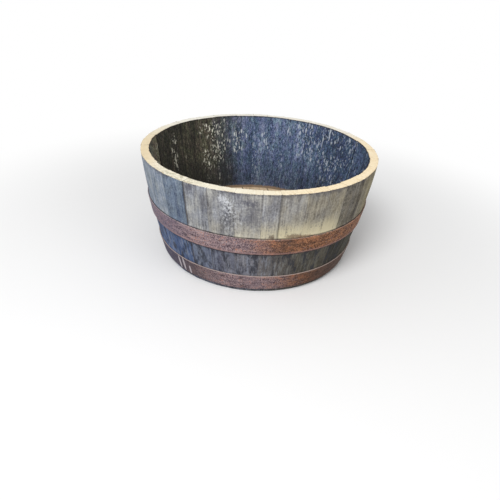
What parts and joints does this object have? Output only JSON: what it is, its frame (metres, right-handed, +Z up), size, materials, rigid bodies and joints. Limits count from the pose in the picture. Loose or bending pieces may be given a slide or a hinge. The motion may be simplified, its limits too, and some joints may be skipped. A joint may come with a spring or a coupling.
{
  "type": "barrel tub planter",
  "caption": "Round open tub sawn from a charred oak barrel: bent staves held by two riveted steel hoops round a dowelled board floor with a drain hole.",
  "frame": {"origin": "centre of the circle that the stave ends stand on, on the ground", "axes": "+Z up the tub's axis, -Y is the front seen in the picture, +X to its right"},
  "size_m": [0.6485, 0.6486, 0.3],
  "materials": {
    "weathered_oak": "matte",
    "floor_oak": "matte",
    "dowel_oak": "matte",
    "rusty_steel": "rusted, matte"
  },
  "bodies": {
    "root": {"stave_01": "weathered_oak", "stave_02": "weathered_oak", "stave_03": "weathered_oak", "stave_04": "weathered_oak", "stave_05": "weathered_oak", "stave_06": "weathered_oak", "stave_07": "weathered_oak", "stave_08": "weathered_oak", "stave_09": "weathered_oak", "stave_10": "weathered_oak", "stave_11": "weathered_oak", "stave_12": "weathered_oak", "stave_13": "weathered_oak", "stave_14": "weathered_oak", "stave_15": "weathered_oak", "stave_16": "weathered_oak", "stave_17": "weathered_oak", "stave_18": "weathered_oak", "stave_19": "weathered_oak", "stave_20": "weathered_oak", "stave_21": "weathered_oak", "stave_22": "weathered_oak", "stave_23": "weathered_oak", "stave_24": "weathered_oak", "stave_25": "weathered_oak", "stave_26": "weathered_oak", "stave_27": "weathered_oak", "stave_28": "weathered_oak", "stave_29": "weathered_oak", "stave_30": "weathered_oak", "head_board_01": "floor_oak", "head_board_02": "floor_oak", "head_board_03": "floor_oak", "head_board_04": "floor_oak", "head_board_05": "floor_oak", "head_board_06": "floor_oak", "dowel_1_front": "dowel_oak", "dowel_1_back": "dowel_oak", "dowel_2_front": "dowel_oak", "dowel_2_back": "dowel_oak", "dowel_3_front": "dowel_oak", "dowel_3_back": "dowel_oak", "dowel_4_front": "dowel_oak", "dowel_4_back": "dowel_oak", "dowel_5_front": "dowel_oak", "dowel_5_back": "dowel_oak", "quarter_hoop": "rusty_steel", "quarter_hoop_rivet_01": "rusty_steel", "quarter_hoop_rivet_02": "rusty_steel", "head_hoop": "rusty_steel", "head_hoop_rivet_01": "rusty_steel", "head_hoop_rivet_02": "rusty_steel"}
  },
  "joints": []
}
